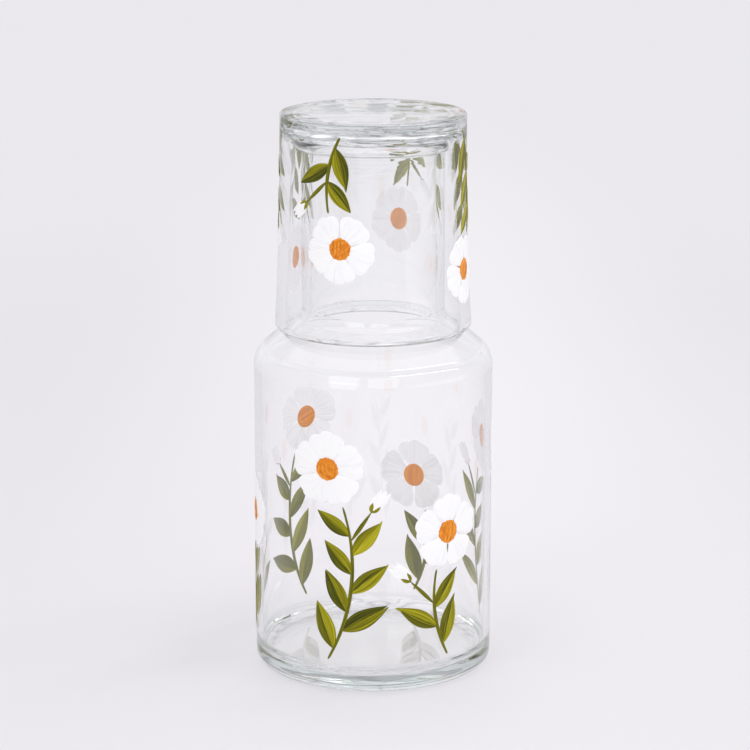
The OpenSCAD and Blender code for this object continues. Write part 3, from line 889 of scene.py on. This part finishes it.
WHITE = [(0.08, (0.80, 0.80, 0.82, 1)), (0.30, (0.92, 0.92, 0.93, 1)), (0.55, (0.965, 0.965, 0.96, 1))]
WHITE_UNDER = [(0.15, (0.84, 0.82, 0.86, 1)), (0.6, (0.96, 0.945, 0.965, 1))]
white_face = enamel("white_enamel", WHITE, roughness=0.32, streak_height=0.00008, tone_share=0.35)
white_under = enamel(
    "white_enamel_underside", WHITE_UNDER, roughness=0.5, streak_height=0.00003, tone_share=0.35
)
brush = random.Random(23)
petal_marks = [petal_mark(f"petal_{k}", brush) for k in range(3)]
white_marks = (petal_marks, leaf_marks[2])
drawings = []
for i in range(BODY_SPRIGS):
    drawing = draw_white(i, BODY_STEMS[i % 2], BODY_BLOSSOM, BODY_EYE, BODY_BUD, white_marks, brush)
    around = BODY_AROUND + i * 360 / BODY_SPRIGS
    fire_on(drawing, carafe, BODY_FOOT, around, hanging=False, depth=0.0)
    drawings.append(drawing)
blossoms = finish_paint(drawings, "carafe_white_strokes", white_face, white_under)
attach(blossoms, "carafe")
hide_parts("carafe_petals")


# The eyes of the carafe's blossoms: a round pool of orange enamel, dabbed over while wet with short strokes
# of darker and lighter orange.
DABS, DAB_W, DABBED, DAB_TURN = 18, 0.085, 0.40, 0.618
DAB_SIZES, DAB_SWAY, DISC_SIZES = (0.2, 0.34), 18, (0.95, 1.0)


def disc_mark(name, brush):
    """A round pool of paint, one across."""

    def half_width(along):
        return max(LEAST_W, math.sqrt(max(0.0, 0.25 - (along - 0.5) ** 2)))

    return brush_mark(name, half_width, lambda along: (0.0, along - 0.5, 0.0), brush, columns=10, rows=14)


def draw_eye(stem_h, eye_d, marks, brush):
    """A pool of orange with dabs over it."""
    disc, dab = marks
    heading = brush.uniform(0, 360)
    pool_w = eye_d * brush.uniform(*DISC_SIZES)
    strokes = [lay(disc, 0, stem_h, heading, eye_d, pool_w, tone=0.55, lift=0.0)]
    for k in range(DABS):
        away = math.tau * k * DAB_TURN
        out = DABBED * eye_d * math.sqrt((k + 0.5) / DABS)
        length = eye_d * brush.uniform(*DAB_SIZES)
        heading = brush.uniform(-DAB_SWAY, DAB_SWAY)
        strokes.append(
            lay(
                dab, out * math.cos(away), stem_h + out * math.sin(away) - length / 2, heading, length,
                eye_d * DAB_W, tone=brush.random(), lift=brush.uniform(0.5, 1.0),
            )
        )
    return joined(strokes, "eye_drawing")


ORANGE = [(0.2, (0.50, 0.125, 0.010, 1)), (0.5, (0.77, 0.24, 0.018, 1)), (0.8, (0.93, 0.42, 0.065, 1))]
ORANGE_UNDER = [(0.2, (0.60, 0.18, 0.015, 1)), (0.8, (0.82, 0.31, 0.04, 1))]
orange_face = enamel("orange_enamel", ORANGE, roughness=0.35, streak_height=0.00008, tone_share=0.55)
orange_under = enamel(
    "orange_enamel_underside", ORANGE_UNDER, roughness=0.5, streak_height=0.00003, tone_share=0.4
)
brush = random.Random(37)
eye_marks = (disc_mark("eye_disc", brush), blade("eye_dab", brush))
drawings = []
for i in range(BODY_SPRIGS):
    drawing = draw_eye(BODY_STEMS[i % 2], BODY_EYE, eye_marks, brush)
    around = BODY_AROUND + i * 360 / BODY_SPRIGS
    fire_on(drawing, carafe, BODY_FOOT, around, hanging=False, depth=-0.00002)
    drawings.append(drawing)
eyes = finish_paint(drawings, "carafe_orange_dabs", orange_face, orange_under)
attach(eyes, "carafe")
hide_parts("carafe_flower_eyes")


# The foliage on the tumbler: the same olive enamel with a smaller brush. It was painted with the tumbler
# upright, so over the neck it hangs from the base.
TUMBLER_SPRIGS, TUMBLER_AROUND, TUMBLER_FOOT = 4, -20.0, 192.89
TUMBLER_STEMS = (37.85, 48.45)
TUMBLER_BLOSSOM, TUMBLER_EYE = 25.0, 8.0
TUMBLER_LEAF_L, TUMBLER_LEAF_W, TUMBLER_BUD = 16.0, 6.5, 8.0
brush = random.Random(53)
drawings = []
for i in range(TUMBLER_SPRIGS):
    drawing = draw_foliage(
        i, TUMBLER_STEMS[i % 2], TUMBLER_BLOSSOM, TUMBLER_LEAF_L, TUMBLER_LEAF_W, TUMBLER_BUD, leaf_marks,
        brush,
    )
    around = TUMBLER_AROUND - i * 360 / TUMBLER_SPRIGS
    fire_on(drawing, tumbler, TUMBLER_FOOT, around, hanging=True, depth=-0.00001)
    drawings.append(drawing)
foliage = finish_paint(drawings, "tumbler_green_strokes", green_face, green_under)
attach(foliage, "tumbler")
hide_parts("tumbler_foliage")


# The blossoms and buds on the tumbler: the same white enamel, each lobe again a fan of three strokes, on
# blossoms a little smaller than the carafe's.
brush = random.Random(61)
drawings = []
for i in range(TUMBLER_SPRIGS):
    drawing = draw_white(
        i, TUMBLER_STEMS[i % 2], TUMBLER_BLOSSOM, TUMBLER_EYE, TUMBLER_BUD, white_marks, brush
    )
    around = TUMBLER_AROUND - i * 360 / TUMBLER_SPRIGS
    fire_on(drawing, tumbler, TUMBLER_FOOT, around, hanging=True, depth=0.0)
    drawings.append(drawing)
blossoms = finish_paint(drawings, "tumbler_white_strokes", white_face, white_under)
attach(blossoms, "tumbler")
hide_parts("tumbler_petals")


# The eyes of the tumbler's blossoms: the same orange enamel, a round pool that is dabbed over while it is
# wet, a little smaller than the carafe's too.
brush = random.Random(71)
drawings = []
for i in range(TUMBLER_SPRIGS):
    drawing = draw_eye(TUMBLER_STEMS[i % 2], TUMBLER_EYE, eye_marks, brush)
    around = TUMBLER_AROUND - i * 360 / TUMBLER_SPRIGS
    fire_on(drawing, tumbler, TUMBLER_FOOT, around, hanging=True, depth=-0.00002)
    drawings.append(drawing)
eyes = finish_paint(drawings, "tumbler_orange_dabs", orange_face, orange_under)
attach(eyes, "tumbler")
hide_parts("tumbler_flower_eyes")

# The loose marks that the strokes were copied from are no part of the set.
take(*leaf_marks, *petal_marks, *eye_marks)
bpy.ops.object.delete()
